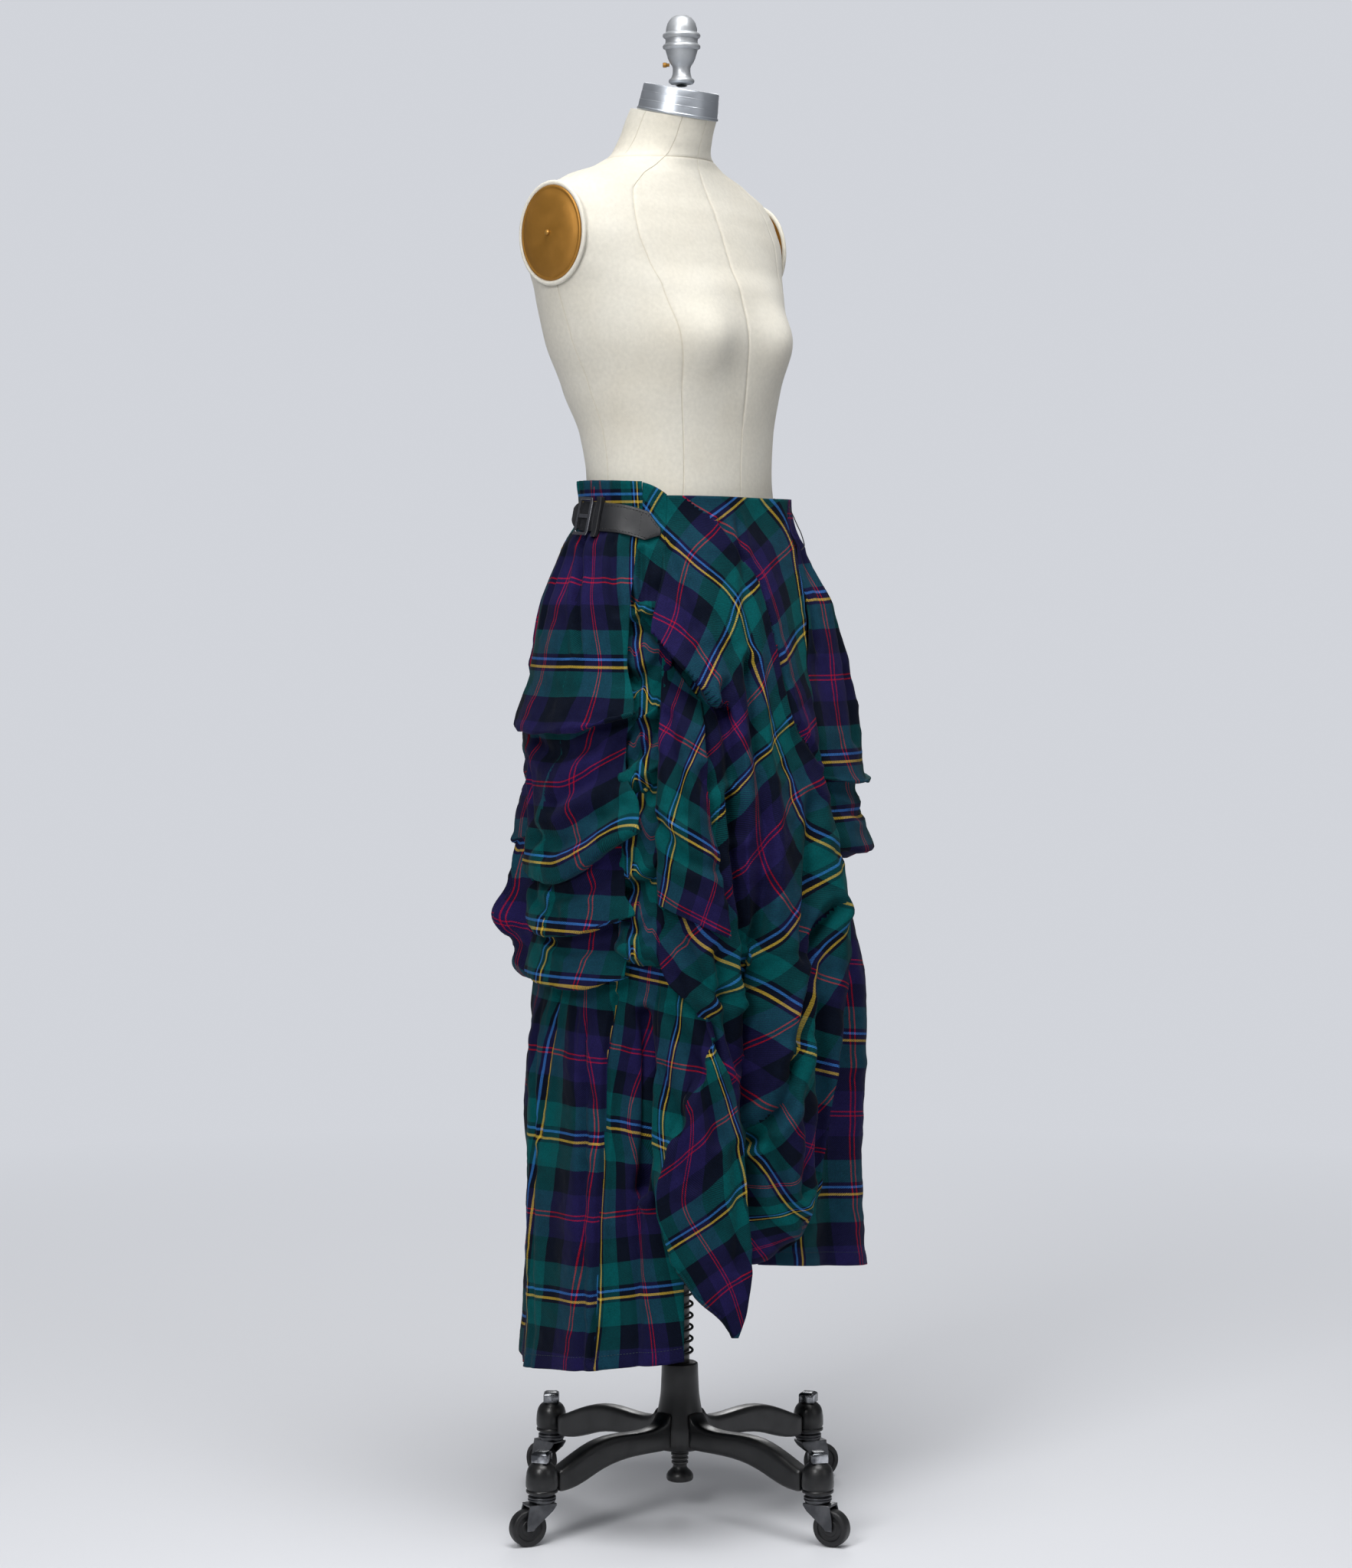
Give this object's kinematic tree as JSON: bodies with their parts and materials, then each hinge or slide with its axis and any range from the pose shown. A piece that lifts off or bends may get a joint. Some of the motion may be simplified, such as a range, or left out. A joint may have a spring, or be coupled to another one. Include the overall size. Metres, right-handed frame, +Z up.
{
  "type": "tartan skirt on dress form stand",
  "caption": "Draped tartan wool skirt with gathered hip panels, a bias front, a pointed tail and a side strap, worn on a canvas dress form on a castor stand.",
  "frame": {"origin": "on the floor, on the axis of the pole", "axes": "+Z up, the figure faces -Y and its right side, with the strap and buckle, is on -X"},
  "size_m": [0.5272, 0.5303, 1.781],
  "materials": {
    "tartan": "brushed wool twill in a green, navy and black tartan with red, azure and yellow lines",
    "leather": "smooth black leather with stitched edges",
    "canvas": "cream linen canvas stretched smooth",
    "brass": "dull aged brass",
    "aluminium": "cast and turned aluminium",
    "steel": "worn pressed steel",
    "chrome": "bright plated nuts",
    "black_metal": "satin black",
    "iron": "gloss black paint on cast iron, chipped at the edges",
    "rubber": "hard black rubber"
  },
  "bodies": {
    "base": {"hub": "iron", "stand_tube": "black_metal", "pole_foot": "iron", "spring": "black_metal", "arm_front": "iron", "arm_right": "iron", "arm_back": "iron", "arm_left": "iron", "bell_front": "iron", "bell_right": "iron", "bell_back": "iron", "bell_left": "iron", "nut_front": "chrome", "nut_right": "chrome", "nut_back": "chrome", "nut_left": "chrome"},
    "pole": {"pole": "steel"},
    "form": {"form_torso": "canvas", "neck_cap": "aluminium", "finial": "aluminium", "finial_ball": "steel", "thumbscrew": "brass", "arm_plate_right": "brass", "plate_screw_right": "brass", "arm_plate_left": "brass", "plate_screw_left": "brass", "side_right": "tartan", "ruche_right": "tartan", "front_panel": "tartan", "front_cowl": "tartan", "front_tail": "tartan", "leg_right": "tartan", "side_left": "tartan", "leg_left": "tartan", "back_panel": "tartan", "back_lower": "tartan", "strap": "leather", "strap_stub": "leather", "buckle_roll": "leather", "buckle_keeper": "leather", "buckle_frame": "black_metal", "buckle_prong": "steel", "hanger_loop": "leather"},
    "castor_front": {"fork_front": "steel", "axle_front": "steel"},
    "wheel_front": {"wheel_front": "rubber"},
    "castor_right": {"fork_right": "steel", "axle_right": "steel"},
    "wheel_right": {"wheel_right": "rubber"},
    "castor_back": {"fork_back": "steel", "axle_back": "steel"},
    "wheel_back": {"wheel_back": "rubber"},
    "castor_left": {"fork_left": "steel", "axle_left": "steel"},
    "wheel_left": {"wheel_left": "rubber"}
  },
  "joints": [
    {"name": "form_height", "type": "slide", "parent": "base", "child": "pole", "axis": [0, 0, 1], "range_m": [-0.04, 0.15]},
    {"name": "form_turn", "type": "hinge", "parent": "pole", "child": "form", "pos_m": [0, 0, 0.88], "axis": [0, 0, 1], "continuous": true},
    {"name": "castor_swivel_front", "type": "hinge", "parent": "base", "child": "castor_front", "pos_m": [-0.0197, -0.22514, 0.06], "axis": [0, 0, 1], "continuous": true},
    {"name": "wheel_spin_front", "type": "hinge", "parent": "castor_front", "child": "wheel_front", "pos_m": [-0.01595, -0.24275, 0.02173], "axis": [0.9781, 0.2079, 0], "continuous": true},
    {"name": "castor_swivel_right", "type": "hinge", "parent": "base", "child": "castor_right", "pos_m": [-0.22514, 0.0197, 0.06], "axis": [0, 0, 1], "continuous": true},
    {"name": "wheel_spin_right", "type": "hinge", "parent": "castor_right", "child": "wheel_right", "pos_m": [-0.24158, 0.02702, 0.02173], "axis": [-0.4067, -0.9135, 0], "continuous": true},
    {"name": "castor_swivel_back", "type": "hinge", "parent": "base", "child": "castor_back", "pos_m": [0.0197, 0.22514, 0.06], "axis": [0, 0, 1], "continuous": true},
    {"name": "wheel_spin_back", "type": "hinge", "parent": "castor_back", "child": "wheel_back", "pos_m": [0.02127, 0.24307, 0.02173], "axis": [-0.9962, 0.0872, 0], "continuous": true},
    {"name": "castor_swivel_left", "type": "hinge", "parent": "base", "child": "castor_left", "pos_m": [0.22514, -0.0197, 0.06], "axis": [0, 0, 1], "continuous": true},
    {"name": "wheel_spin_left", "type": "hinge", "parent": "castor_left", "child": "wheel_left", "pos_m": [0.24145, -0.0273, 0.02173], "axis": [0.4226, 0.9063, 0], "continuous": true}
  ]
}
